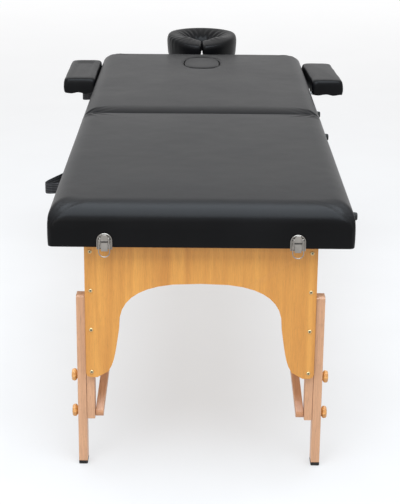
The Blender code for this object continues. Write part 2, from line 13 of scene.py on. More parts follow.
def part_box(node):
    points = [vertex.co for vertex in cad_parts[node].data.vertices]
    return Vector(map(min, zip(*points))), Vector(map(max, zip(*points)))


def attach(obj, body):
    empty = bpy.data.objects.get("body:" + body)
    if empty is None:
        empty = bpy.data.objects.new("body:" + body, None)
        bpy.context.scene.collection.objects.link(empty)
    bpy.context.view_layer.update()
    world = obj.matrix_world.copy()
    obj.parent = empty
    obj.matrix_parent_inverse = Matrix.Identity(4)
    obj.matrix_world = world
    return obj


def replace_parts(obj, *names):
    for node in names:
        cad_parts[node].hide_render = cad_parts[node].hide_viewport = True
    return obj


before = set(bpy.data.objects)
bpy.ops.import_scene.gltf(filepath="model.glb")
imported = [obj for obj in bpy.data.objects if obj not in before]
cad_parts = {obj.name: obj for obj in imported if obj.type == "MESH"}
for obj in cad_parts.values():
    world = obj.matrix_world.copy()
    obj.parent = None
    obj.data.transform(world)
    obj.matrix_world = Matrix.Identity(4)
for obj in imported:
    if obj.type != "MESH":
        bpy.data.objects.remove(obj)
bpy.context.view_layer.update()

# ---- sizes ---------------------------------------------------------------------------------------
HALVES = {"foot": -1, "head": 1}
SIDES = {"left": -1, "right": 1}

pad_low, pad_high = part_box("foot_pad")
FOLD_Y = (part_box("foot_hinge_leaf")[1].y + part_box("head_hinge_leaf")[0].y) / 2
HALF_WIDTH = pad_high.x
HALF_LENGTH = FOLD_Y - pad_low.y
TOP_Z = pad_high.z
SKIRT_Z = pad_low.z
DECK_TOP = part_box("foot_deck")[1].z
LEG_SPLAY = math.radians(2.0)
LEG_PIVOT_U = HALF_LENGTH - 0.055
LEG_PIVOT_Z = SKIRT_Z + 0.029
STAY_REACH = 0.462          # from a leg's pivot to its stay's pins, along the leg and along the frame
PANEL_BACK = 0.0179         # out from the leg frame's middle plane to the end panel
PANEL_THICKNESS = 0.008
DECK_THICKNESS = 0.005


def along(half, u):
    """Y of a point at u from the fold line in this half."""
    return FOLD_Y + HALVES[half] * u


class LegFrame:
    """Points of one half's leg frame: reach runs from its pivot down the leg, out to the table's end."""

    def __init__(self, half):
        sign = HALVES[half]
        self.pivot = Vector((0, along(half, LEG_PIVOT_U), LEG_PIVOT_Z))
        self.down = Vector((0, sign * math.sin(LEG_SPLAY), -math.cos(LEG_SPLAY)))
        self.out = Vector((0, sign * math.cos(LEG_SPLAY), math.sin(LEG_SPLAY)))

    def point(self, x, reach, out=0.0):
        return self.pivot + Vector((x, 0, 0)) + self.down * reach + self.out * out


# ---- material building ---------------------------------------------------------------------------
class Look:
    """A node material being put together. Textures take the object coordinates, which are metres."""

    def __init__(self, name, roughness=0.5, metallic=0.0, **sockets):
        self.material = bpy.data.materials.new(name)
        self.material.use_nodes = True
        self.tree = self.material.node_tree
        self.shader = self.tree.nodes["Principled BSDF"]
        self.shader.inputs["Roughness"].default_value = roughness
        self.shader.inputs["Metallic"].default_value = metallic
        for socket, value in sockets.items():
            self.shader.inputs[socket.replace("_", " ")].default_value = value
        self.place = self.node("ShaderNodeTexCoord", {}).outputs["Object"]

    def node(self, kind, inputs, **settings):
        made = self.tree.nodes.new(kind)
        for name, value in settings.items():
            setattr(made, name, value)
        for name, value in inputs.items():
            self.feed(made.inputs[name], value)
        return made

    def feed(self, socket, value):
        if isinstance(value, bpy.types.NodeSocket):
            self.tree.links.new(value, socket)
        elif isinstance(value, (tuple, list)) and len(value) == 3 and len(socket.default_value) == 4:
            socket.default_value = (*value, 1.0)
        else:
            socket.default_value = value

    def stretched(self, scale, turn_x=0.0):
        """The place turned about X, then scaled along each axis."""
        turn = self.node("ShaderNodeMapping", {"Vector": self.place, "Rotation": (turn_x, 0, 0)})
        inputs = {0: turn.outputs["Vector"], 1: scale}
        return self.node("ShaderNodeVectorMath", inputs, operation="MULTIPLY").outputs[0]

    def noise(self, scale, detail=2.0, roughness=0.5, place=None, distortion=0.0):
        inputs = {"Vector": place or self.place, "Scale": scale, "Detail": detail}
        inputs.update({"Roughness": roughness, "Distortion": distortion})
        return self.node("ShaderNodeTexNoise", inputs).outputs["Fac"]

    def cells(self, scale):
        inputs = {"Vector": self.place, "Scale": scale}
        return self.node("ShaderNodeTexVoronoi", inputs, feature="SMOOTH_F1").outputs["Distance"]

    def wave(self, direction, scale, distortion):
        inputs = {"Vector": self.place, "Scale": scale, "Distortion": distortion}
        made = self.node("ShaderNodeTexWave", inputs, wave_type="BANDS", bands_direction=direction)
        return made.outputs["Fac"]

    def ramp(self, value, stops):
        made = self.node("ShaderNodeValToRGB", {"Fac": value})
        ramp = made.color_ramp
        for k, (position, color) in enumerate(stops):
            stop = ramp.elements[k] if k < 2 else ramp.elements.new(position)
            stop.position = position
            stop.color = (*color, 1.0) if isinstance(color, tuple) else (color, color, color, 1.0)
        return made.outputs["Color"]

    def math(self, operation, first, second=0.0):
        return self.node("ShaderNodeMath", {0: first, 1: second}, operation=operation).outputs[0]

    def between(self, value, low, high, start=0.0, end=1.0):
        """Spreads a value from start..end to low..high."""
        inputs = {"Value": value, "From Min": start, "From Max": end, "To Min": low, "To Max": high}
        return self.node("ShaderNodeMapRange", inputs).outputs["Result"]

    def mix(self, share, first, second, blend="MIX"):
        inputs = {"Factor": share, "A": first, "B": second}
        return self.node("ShaderNodeMix", inputs, data_type="RGBA", blend_type=blend).outputs["Result"]

    def dot(self, place, way):
        return self.node("ShaderNodeVectorMath", {0: place, 1: way}, operation="DOT_PRODUCT").outputs["Value"]

    def color(self, value):
        self.feed(self.shader.inputs["Base Color"], value)

    def roughness(self, value):
        self.feed(self.shader.inputs["Roughness"], value)

    def bump(self, height, distance, strength=1.0):
        """Adds a bump on top of those added before."""
        inputs = {"Strength": strength, "Distance": distance, "Height": height}
        normal = self.shader.inputs["Normal"]
        if normal.links:
            inputs["Normal"] = normal.links[0].from_socket
        self.feed(normal, self.node("ShaderNodeBump", inputs).outputs["Normal"])


def halfway(first, second):
    return tuple((a + b) / 2 for a, b in zip(first, second))


def leatherette():
    """Matt black upholstery vinyl: a fine pebble grain, soft waves and slightly uneven gloss."""
    look = Look("black_vinyl", IOR=1.215)
    grain = look.cells(820.0)
    fine = look.noise(1500.0, 2.0)
    cloud = look.noise(7.0, 3.0)
    look.color(look.ramp(cloud, [(0.30, (0.0018, 0.0018, 0.0021)), (0.70, (0.0032, 0.0032, 0.0037))]))
    mixed = look.math("ADD", look.math("MULTIPLY", cloud, 0.6), look.math("MULTIPLY", fine, 0.4))
    look.roughness(look.between(mixed, 0.30, 0.42))
    look.bump(look.noise(16.0, 2.0), 0.0012, 0.35)
    look.bump(grain, 0.00022, 0.5)
    look.bump(fine, 0.00008, 0.4)
    return look.material


def wood(name, light, dark, turn_x=0.0, fleck=0.5, band=18.0, gloss=(0.34, 0.48)):
    """Lacquered wood with its grain along Z, turned about X for a slanted piece."""
    look = Look(name, Coat_Weight=0.12, Coat_Roughness=0.25)
    broad = look.stretched((band, band, band * 0.045), turn_x)
    fibre = look.stretched((420.0, 420.0, 9.0), turn_x)
    dashes = look.stretched((900.0, 900.0, 60.0), turn_x)
    year = look.noise(1.0, 3.0, 0.55, broad, 0.6)
    lines = look.noise(1.0, 3.0, 0.6, fibre)
    rays = look.noise(1.0, 1.0, 0.4, dashes)
    tone = look.ramp(year, [(0.32, dark), (0.52, halfway(light, dark)), (0.70, light)])
    streaks = look.ramp(lines, [(0.35, 0.72), (0.60, 1.0)])
    tone = look.mix(0.55, tone, streaks, "MULTIPLY")
    marks = look.ramp(rays, [(0.62, 1.0), (0.70, 0.62)])
    look.color(look.mix(fleck, tone, marks, "MULTIPLY"))
    look.roughness(look.between(lines, *gloss))
    look.bump(lines, 0.00012, 0.35)
    look.bump(rays, 0.00008, 0.25)
    return look.material


def layered_ply(name, axis, origin, thickness, plies, face_light, face_dark, grain="Z"):
    """Veneered board: grain on its faces, alternating plies on its edges. axis is the board's normal."""
    look = Look(name, Coat_Weight=0.15, Coat_Roughness=0.22)
    long_axis = {"Z": (1.0, 1.0, 0.035), "Y": (1.0, 0.035, 1.0)}[grain]
    broad = look.stretched(tuple(34.0 * k for k in long_axis))
    fibre = look.stretched(tuple(520.0 * k for k in long_axis))
    pores = look.stretched(tuple(1500.0 * k for k in long_axis))
    year = look.noise(1.0, 3.0, 0.5, broad, 0.8)
    lines = look.noise(1.0, 3.0, 0.65, fibre)
    dots = look.noise(1.0, 1.0, 0.5, pores)
    face = look.ramp(year, [(0.30, face_dark), (0.50, halfway(face_light, face_dark)), (0.68, face_light)])
    face = look.mix(0.42, face, look.ramp(lines, [(0.32, 0.70), (0.62, 1.0)]), "MULTIPLY")
    face = look.mix(0.35, face, look.ramp(dots, [(0.60, 1.0), (0.72, 0.55)]), "MULTIPLY")
    normal = Vector(axis).normalized()
    depth = look.math("SUBTRACT", look.dot(look.place, normal), Vector(origin).dot(normal))
    layer = look.math("MODULO", look.math("FLOOR", look.math("MULTIPLY", depth, plies / thickness)), 2.0)
    edge = look.mix(look.math("ABSOLUTE", layer), PLY_LIGHT, PLY_DARK)
    edge = look.mix(0.5, edge, look.ramp(lines, [(0.3, 0.6), (0.7, 1.0)]), "MULTIPLY")
    geometry = look.node("ShaderNodeNewGeometry", {})
    local = look.node("ShaderNodeVectorTransform", {0: geometry.outputs["True Normal"]}, vector_type="NORMAL")
    local.convert_from, local.convert_to = "WORLD", "OBJECT"
    on_face = look.math("GREATER_THAN", look.math("ABSOLUTE", look.dot(local.outputs[0], normal)), 0.6)
    look.color(look.mix(on_face, edge, face))
    look.roughness(look.between(lines, 0.33, 0.46))
    look.bump(lines, 0.0001, 0.3)
    return look.material


def metal(name, color, roughness, brushed=(300.0, 300.0, 300.0)):
    """Plated or brushed metal with fine scratches and slightly uneven plating."""
    look = Look(name, roughness, 1.0)
    scratches = look.noise(1.0, 3.0, 0.6, look.stretched(brushed))
    cloud = look.noise(60.0, 2.0)
    dull = tuple(c * 0.85 for c in color)
    look.color(look.ramp(cloud, [(0.35, dull), (0.65, color)]))
    look.roughness(look.between(scratches, roughness * 0.75, roughness * 1.35))
    look.bump(scratches, 0.00006, 0.3)
    return look.material


def rubber():
    look = Look("black_rubber", 0.75, IOR=1.35)
    speckle = look.noise(900.0, 3.0)
    dust = look.noise(45.0, 4.0)
    look.color(look.ramp(dust, [(0.35, (0.012, 0.012, 0.012)), (0.75, (0.028, 0.027, 0.026))]))
    look.roughness(look.between(speckle, 0.62, 0.88))
    look.bump(speckle, 0.0002, 0.6)
    return look.material


def webbing():
    """Ribbed polypropylene tape: ribs run along the tape, weft bars across it."""
    look = Look("black_webbing", 0.6, IOR=1.4)
    ribs = look.wave("Z", 48.0, 0.15)
    weft = look.wave("Y", 190.0, 0.4)
    woven = look.math("MULTIPLY", ribs, look.between(weft, 0.55, 1.0))
    look.color(look.ramp(woven, [(0.05, (0.004, 0.004, 0.005)), (0.9, (0.042, 0.042, 0.046))]))
    look.roughness(look.between(woven, 0.75, 0.5))
    look.bump(woven, 0.0006, 0.8)
    return look.material


BEECH_LIGHT = (0.72, 0.405, 0.235)
BEECH_DARK = (0.57, 0.295, 0.155)
# the stays' beech is darker and more saturated than the legs': partly a darker wood, partly painted shade
# from the table above them
STAY_SHADED_LIGHT = (0.62, 0.310, 0.155)
STAY_SHADED_DARK = (0.49, 0.225, 0.105)
VENEER_LIGHT = (0.745, 0.345, 0.067)
VENEER_DARK = (0.585, 0.238, 0.041)
PLY_LIGHT = (0.55, 0.36, 0.19)
PLY_DARK = (0.33, 0.18, 0.085)
DECK_LIGHT = (0.60, 0.42, 0.24)
DECK_DARK = (0.48, 0.31, 0.16)
KNOB_LIGHT = (0.76, 0.39, 0.125)
KNOB_DARK = (0.58, 0.25, 0.065)
RAIL_LIGHT = (0.62, 0.42, 0.22)
RAIL_DARK = (0.46, 0.28, 0.13)
ALONG_Y = math.pi / 2
STAY_TURN = (math.pi / 2 + LEG_SPLAY) / 2

VINYL = leatherette()
BEECH = wood("pale_beech", BEECH_LIGHT, BEECH_DARK)
SHADED_STAY_BEECH = {h: wood(f"{h}_stay_beech_partly_shaded", STAY_SHADED_LIGHT, STAY_SHADED_DARK, -s * STAY_TURN) for h, s in HALVES.items()}
KNOB_WOOD = wood("turned_beech", KNOB_LIGHT, KNOB_DARK, ALONG_Y, 0.6, 40.0, (0.28, 0.4))
RAIL_WOOD = wood("rail_wood", RAIL_LIGHT, RAIL_DARK, ALONG_Y, 0.35, 24.0, (0.5, 0.65))
NICKEL = metal("satin_nickel", (0.36, 0.335, 0.305), 0.32, (500.0, 500.0, 40.0))
ZINC = metal("zinc_plate", (0.60, 0.62, 0.63), 0.30)
YELLOW_ZINC = metal("yellow_zinc", (0.72, 0.60, 0.34), 0.30)
ALUMINIUM = metal("aluminium", (0.66, 0.68, 0.70), 0.32, (40.0, 700.0, 700.0))
# steel darkened as painted shade: used inside the screws' recesses and for the latch's slot rod and pins
PAINTED_SHADE_STEEL = metal("steel_darkened_as_painted_shade", (0.10, 0.095, 0.09), 0.42)
RUBBER = rubber()
WEBBING = webbing()


# ---- mesh building -------------------------------------------------------------------------------
def show(name, data):
    """Puts a mesh, a light or a camera into the scene."""
    made = bpy.data.objects.new(name, data)
    bpy.context.scene.collection.objects.link(made)
    return made


def piece(name, bm, look, body, smooth_angle=40.0):
    """Makes a piece of a bmesh in the frame's coordinates, smooth below an angle, riding on a body."""
    bmesh.ops.recalc_face_normals(bm, faces=bm.faces)
    mesh = bpy.data.meshes.new(name)
    bm.to_mesh(mesh)
    bm.free()
    mesh.materials.append(look)
    for face in mesh.polygons:
        face.use_smooth = True
    mesh.set_sharp_from_angle(angle=math.radians(smooth_angle))
    obj = show(name, mesh)
    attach(obj, body)
    return obj


def loft(bm, rings, cap_start=True, cap_end=True):
    """Joins rings of points, each a list of the same length, with quads."""
    made = [[bm.verts.new(p) for p in ring] for ring in rings]
    count = len(made[0])
    for low, high in zip(made, made[1:]):
        for k in range(count):
            n = (k + 1) % count
            bm.faces.new((low[k], low[n], high[n], high[k]))
    if cap_start:
        bm.faces.new(list(reversed(made[0])))
    if cap_end:
        bm.faces.new(made[-1])


def scaled(profile, radius):
    """A profile whose radii are given as shares of a radius."""
    return [(reach, share * radius) for reach, share in profile]


def turned(bm, start, way, profile, steps=20, radius_at=None):
    """Turns a profile of (distance along way, radius) round the axis that leaves start along way."""
    way = Vector(way).normalized()
    side = way.orthogonal().normalized()
    across = way.cross(side)
    rings = []
    for reach, radius in profile:
        ring = []
        for k in range(steps):
            a = 2 * math.pi * k / steps
            r = radius * (radius_at(a) if radius_at else 1.0)
            ring.append(Vector(start) + way * reach + side * (r * math.cos(a)) + across * (r * math.sin(a)))
        rings.append(ring)
    loft(bm, rings)


def swept(bm, path, section):
    """Sweeps a section of (side, up) points along a path of points."""
    rings = []
    for k, here in enumerate(path):
        way = (path[min(k + 1, len(path) - 1)] - path[max(k - 1, 0)]).normalized()
        upright = Vector((0, 0, 1)) if abs(way.z) < 0.9 else Vector((0, 1, 0))
        side = way.cross(upright).normalized()
        up = side.cross(way).normalized()
        rings.append([here + side * s + up * u for s, u in section])
    loft(bm, rings)


def round_section(radius, sides=10):
    turns = [2 * math.pi * k / sides for k in range(sides)]
    return [(radius * math.cos(a), radius * math.sin(a)) for a in turns]


def ease(t):
    t = min(max(t, 0.0), 1.0)
    return t * t * (3 - 2 * t)


def bell(distance, width):
    return math.exp(-((distance / width) ** 2))


def rounded_box(half_x, half_y, radii, per_side, per_corner):
    """Outline points (x, y, normal x, normal y) of a rectangle with a radius at each corner.

    radii maps (sign x, sign y) to that corner's radius. The sizes don't change the number of points.
    """
    outline = []
    corners = [(1, -1), (1, 1), (-1, 1), (-1, -1)]
    for k, (sx, sy) in enumerate(corners):
        radius = radii[(sx, sy)]
        middle = (sx * (half_x - radius), sy * (half_y - radius))
        first = math.pi / 2 * (k - 1)
        for n in range(per_corner + 1):
            a = first + math.pi / 2 * n / per_corner
            nx, ny = math.cos(a), math.sin(a)
            outline.append((middle[0] + radius * nx, middle[1] + radius * ny, nx, ny))
        x, y, nx, ny = outline[-1]
        tx, ty = corners[(k + 1) % 4]
        after = radii[(tx, ty)]
        turn = first + math.pi / 2
        end_x = tx * (half_x - after) + after * math.cos(turn)
        end_y = ty * (half_y - after) + after * math.sin(turn)
        count = per_side[k % 2]
        for n in range(1, count):
            share = n / count
            outline.append((x + (end_x - x) * share, y + (end_y - y) * share, nx, ny))
    return outline


# ---- the padded top ------------------------------------------------------------------------------
PLUG_LOW, PLUG_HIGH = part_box("face_hole_plug")
PLUG_MIDDLE = (PLUG_LOW + PLUG_HIGH) / 2
PLUG_HALF = ((PLUG_HIGH.x - PLUG_LOW.x) / 2, (PLUG_HIGH.y - PLUG_LOW.y) / 2)
# how far in from each edge the top starts to fall, and how far down its wall starts
ROLLS = {
    "foot": {"end": (0.066, 0.041), "side": (0.046, 0.034), "fold": (0.018, 0.020)},
    "head": {"end": (0.030, 0.024), "side": (0.046, 0.034), "fold": (0.085, 0.026)},
}
ROLL_POWER = 2.15           # squareness of a roll's section, where 2 is an ellipse
PLUG_POWER = 2.5            # the same for the face hole's outline
CROWN = 0.0030
RIM_Z = TOP_Z - 0.0005      # where the rolls start down from
HEM_Z = SKIRT_Z - 0.0003
FOLD_GAP = 0.0008           # from the fold line to each cover
COVER_THICKNESS = 0.0010
# outward, and up from the hem, of the turned-in edge of the cover
HEM_TURN = ((-0.0150, 0.0002), (-0.0145, -0.0006), (-0.0090, -0.0006), (-0.0040, -0.0006), (-0.0014, -0.0002))
# outward, and share of the wall's height, up to the roll's foot
WALL_RISE = (
    (0.0, 0.0), (0.0004, 0.06), (0.0008, 0.20), (0.0010, 0.36),
    (0.0010, 0.52), (0.0008, 0.68), (0.0004, 0.84),
)
LATCH_PLACES = [sum(corner.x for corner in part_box(f"latch_base_{name}")) / 2 for name in SIDES]


def edge_fall(inset, roll):
    """How far the top has dropped at a distance in from its edge, for a roll's reach and depth."""
    share = min(inset / roll[0], 1.0)
    return roll[1] * (1 - math.sqrt(max(1 - (1 - share) ** ROLL_POWER, 0.0)))


def oblong(a):
    """A point at angle a round a unit oval that is squarer than an ellipse."""
    x, y = math.cos(a), math.sin(a)
    scale = (abs(x) ** PLUG_POWER + abs(y) ** PLUG_POWER) ** (-1 / PLUG_POWER)
    return x * scale, y * scale


class CoverShape:
    """Outlines and heights of one half's cover, in the half's own middle."""

    per_side, per_corner = (72, 60), 10

    def __init__(self, half):
        self.half = half
        self.sign = HALVES[half]
        self.half_y = (HALF_LENGTH - FOLD_GAP) / 2
        self.middle_y = along(half, FOLD_GAP + self.half_y)
        if half == "head":
            self.hole = (PLUG_MIDDLE.x, PLUG_MIDDLE.y - self.middle_y)
            self.hole_half = (PLUG_HALF[0] + 0.0016, PLUG_HALF[1] + 0.0016)
        else:
            self.hole = (0.0, 0.0)
            self.hole_half = (0.012, 0.016)

    def radii(self, z):
        """Corner radii in plan at a height: tight round the frame, softer in the foam above it."""
        share = ease((z - DECK_TOP + 0.006) / (TOP_Z - DECK_TOP))
        outer, fold = 0.013 + 0.034 * share, 0.0045 + 0.020 * share
        return {(sx, sy): outer if sy == self.sign else fold for sx in (-1, 1) for sy in (-1, 1)}

    def outline(self, z, inset=0.0):
        radii = self.radii(z)
        if inset:
            radii = {corner: max(radius - inset * 0.2, 0.012) for corner, radius in radii.items()}
        return rounded_box(HALF_WIDTH - inset, self.half_y - inset, radii, self.per_side, self.per_corner)

    def roll(self, ny):
        """Reach and depth of the roll at an edge whose normal has this Y, blended round the corners."""
        rolls = ROLLS[self.half]
        end = rolls["end"] if ny * self.sign > 0 else rolls["fold"]
        share = ease(abs(ny))
        return [side + (other - side) * share for side, other in zip(rolls["side"], end)]

    def wall_ring(self, out, share, lift=0.0):
        """One ring round the wall, at a share of its height."""
        ring = []
        level = HEM_Z + share * (RIM_Z - ROLLS[self.half]["side"][1] - HEM_Z)
        for x, y, nx, ny in self.outline(level):
            top = RIM_Z - edge_fall(0.0, self.roll(ny))
            z = HEM_Z + share * (top - HEM_Z) + lift
            push = out
            if ny * self.sign > 0.9:
                push += self.end_bulge(x, z)
            elif ny * self.sign < -0.9:
                push = min(push, 0.0) - 0.0004
            else:
                push += 0.0007 * noise.noise(Vector((x, (self.middle_y + y) * 7, z * 10)))
            ring.append(Vector((x + nx * push, self.middle_y + y + ny * push, z)))
        return ring

    def end_bulge(self, x, z):
        """The foam behind the end wall swells, except where a latch or catch holds the cover down."""
        held = min(sum(bell(x - place, 0.030) for place in LATCH_PLACES), 1.0)
        low = math.sin(math.pi * min(max((z - HEM_Z) / (TOP_Z - HEM_Z), 0.0), 1.0))
        return (0.0016 * (1 - held) - 0.0008 * held) * low

    def height(self, x, y, inset, roll=(0.01, 0.0)):
        """Height of the crowned top: it dips to the face hole's seam and sags a little everywhere."""
        dome = (1 - min(abs(x) / HALF_WIDTH, 1.0) ** 3) * (1 - min(abs(y) / self.half_y, 1.0) ** 4)
        z = RIM_Z - edge_fall(inset, roll) + CROWN * dome
        if self.half == "head":
            shares = ((x - self.hole[0]) / self.hole_half[0], (y - self.hole[1]) / self.hole_half[1])
            reach = sum(abs(share) ** PLUG_POWER for share in shares) ** (1 / PLUG_POWER)
            gap = (reach - 1.0) * self.hole_half[0]
            z -= 0.0040 * bell(gap, 0.006) + 0.0010 * bell(gap, 0.035)
        spot = Vector((x * 5.0, (self.middle_y + y) * 5.0, 0.3 * self.sign))
        z += 0.0007 * noise.noise(spot) + 0.0002 * noise.noise(spot * 5.0)
        return z + self.pleats(x, y)

    def pleats(self, x, y):
        """Shallow folds that run in from each corner over the roll."""
        edge_x, edge_y = HALF_WIDTH - abs(x), self.half_y - abs(y)
        total = 0.0
        for turn, reach, depth in ((0.50, 0.120, 0.0022), (0.92, 0.085, 0.0014)):
            across = edge_x * math.sin(turn) - edge_y * math.cos(turn)
            run = edge_x * math.cos(turn) + edge_y * math.sin(turn)
            if run < reach:
                fade = min(1.0, 1.6 * (1 - run / reach))
                total += depth * fade * (0.55 * bell(across - 0.006, 0.005) - bell(across, 0.0032))
        return total


def pad_cover(half):
    """Vinyl over foam: crowned top, rolled edges, pleated corners, dents at the latches, turned-in hem."""
    shape = CoverShape(half)
    rings = [shape.wall_ring(out, 0.0, lift) for out, lift in HEM_TURN]
    rings += [shape.wall_ring(out, share) for out, share in WALL_RISE]
    inset_steps, loft_steps = 22, 34
    for k in range(inset_steps + 1):
        inset = 0.088 * (k / inset_steps) ** 1.8
        level = RIM_Z - edge_fall(inset, ROLLS[half]["side"])
        outline = shape.outline(level, inset)
        ring = [(x, y) for x, y, _, _ in outline]
        rings.append([
            Vector((x, shape.middle_y + y, shape.height(x, y, inset, shape.roll(ny))))
            for x, y, _, ny in outline
        ])
    for k in range(1, loft_steps + 1):
        share = k / loft_steps
        inner = []
        for x, y in ring:
            east, north = ((p - c) / r for p, c, r in zip((x, y), shape.hole, shape.hole_half))
            way = oblong(math.atan2(north, east))
            ex, ey = (c + r * p for c, r, p in zip(shape.hole, shape.hole_half, way))
            inner.append((x + (ex - x) * share, y + (ey - y) * share))
        rings.append([Vector((x, shape.middle_y + y, shape.height(x, y, 1.0))) for x, y in inner])
    if half == "head":
        lip = [p.copy() for p in rings[-1]]
        centre = Vector((shape.hole[0], shape.middle_y + shape.hole[1], 0))
        for drop, out in ((0.002, -0.0006), (0.006, 0.0004), (0.020, 0.0012), (0.0345, 0.0016)):
            ring = []
            for p in lip:
                way = (Vector((p.x, p.y, 0)) - centre).normalized()
                ring.append(Vector((p.x, p.y, min(p.z, TOP_Z - 0.003) - drop)) + way * out)
            rings.append(ring)
    bm = bmesh.new()
    loft(bm, rings, False, half == "foot")
    cover = piece(f"{half}_top_cover", bm, VINYL, f"{half}_half", 60.0)
    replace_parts(cover, f"{half}_pad")
    solid = cover.modifiers.new("cover_thickness", "SOLIDIFY")
    solid.thickness = COVER_THICKNESS
    solid.offset = -1.0


def face_plug():
    """The stuffed oval in the face hole."""
    rim = ((-0.012, 1.004), (-0.006, 0.992), (-0.0028, 0.965), (-0.0012, 0.92), (-0.0002, 0.84))
    rim += ((0.0006, 0.68), (0.0007, 0.45), (0.0007, 0.2), (0.0007, 0.04))
    levels = [(DECK_TOP + 0.0006, 1.0), (DECK_TOP + 0.004, 1.008)]
    levels += [(TOP_Z + rise, share) for rise, share in rim]
    round_it = [oblong(2 * math.pi * k / 64) for k in range(64)]
    rings = []
    for z, share in levels:
        rings.append([
            Vector((PLUG_MIDDLE.x + PLUG_HALF[0] * share * x, PLUG_MIDDLE.y + PLUG_HALF[1] * share * y, z))
            for x, y in round_it
        ])
    bm = bmesh.new()
    loft(bm, rings)
    plug = piece("face_hole_cushion", bm, VINYL, "face_hole_plug", 50.0)
    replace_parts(plug, "face_hole_plug")


# ---- armrests and cradle -------------------------------------------------------------------------
ARMREST_SKEW = {"left": 0.0, "right": 0.015}        # how much the far end swings in towards the table
ARMREST_WIDER = {"left": 0.0, "right": 0.005}       # how much the inner side stands nearer the table
ARMREST_LIFT = {"left": 0.005, "right": 0.0}        # how much the far end is tipped up


def armrest_pad(name):
    """A padded board: crisp stitched upper edges, slack sides, and a stapled lower edge."""
    low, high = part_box(f"{name}_armrest_pad")
    middle = (low + high) / 2
    half_x, half_y = (high.x - low.x) / 2, (high.y - low.y) / 2
    depth = high.z - low.z
    side = SIDES[name]
    profile = [(-0.020, 0.0005), (-0.003, 0.0003), (-0.0006, 0.0), (0.0006, 0.003), (0.0018, 0.012)]
    profile.append((0.0022, depth * 0.45))
    upper = ((0.0016, -0.014), (0.0002, -0.0070), (-0.0016, -0.0034), (-0.0046, -0.0010), (-0.0095, 0.0004))
    profile += [(out, depth + rise) for out, rise in upper + ((-0.0190, 0.0014),)]
    rings = []
    for out, rise in profile:
        corner = 0.007 + 0.010 * ease((rise - 0.010) / depth) + 0.3 * max(-out, 0.0)
        radii = {(sx, sy): corner for sx in (-1, 1) for sy in (-1, 1)}
        ring = []
        for x, y, nx, ny in rounded_box(half_x + out, half_y + out, radii, (34, 14), 6):
            spot = Vector((x * 9.0, y * 9.0, middle.x * 3.0))
            soft = 0.0010 * noise.noise(spot) if rise > 0.01 else 0.0
            hem = 0.0012 * (math.sin(150 * (x + y)) + math.sin(97 * (x - y))) * (1 - ease(rise / 0.012))
            slack = 0.0012 * noise.noise(Vector((x * 30, y * 30, rise * 20))) * ease(rise / 0.01)
            far = (y + half_y) / (2 * half_y)
            drawn = ARMREST_SKEW[name] * far + ARMREST_WIDER[name] * (1 - x * side / half_x) / 2
            level = low.z + rise + soft + hem + ARMREST_LIFT[name] * far
            ring.append(Vector((middle.x + x + nx * slack - side * drawn, middle.y + y + ny * slack, level)))
        rings.append(ring)
    rim = rings[-1]
    for share in (0.85, 0.65, 0.45, 0.25, 0.08):
        level = low.z + depth + 0.0014 + 0.0016 * (1 - share)
        rings.append([
            Vector((middle.x + (p.x - middle.x) * share, middle.y + (p.y - middle.y) * share, level))
            for p in rim
        ])
    bm = bmesh.new()
    loft(bm, rings)
    pad = piece(f"{name}_armrest_cushion", bm, VINYL, f"{name}_armrest", 42.0)
    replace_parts(pad, f"{name}_armrest_pad")


CRADLE_LOW, CRADLE_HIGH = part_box("cradle_cushion")
CRADLE_MIDDLE_Y = (CRADLE_LOW.y + CRADLE_HIGH.y) / 2
# across the cushion from its outer to its inner edge, as shares of its half width, and up as shares of its
# height: first all round it, then near its two ends
CUSHION_TOP = (
    (0.985, 0.30, 0.30), (1.015, 0.55, 0.50), (0.99, 0.78, 0.64), (0.93, 0.92, 0.72), (0.82, 0.99, 0.77),
    (0.66, 1.0, 0.81), (0.45, 0.975, 0.85), (0.20, 0.925, 0.89), (-0.08, 0.86, 0.93), (-0.36, 0.78, 0.96),
    (-0.62, 0.68, 0.97), (-0.84, 0.53, 0.88), (-0.97, 0.30, 0.45),
)
CUSHION_HALF_WIDTH = 0.040
CUSHION_SKIRT = 0.0135      # how far the cover hangs down round the platform's edge
CUSHION_GAP = math.radians(1.3)


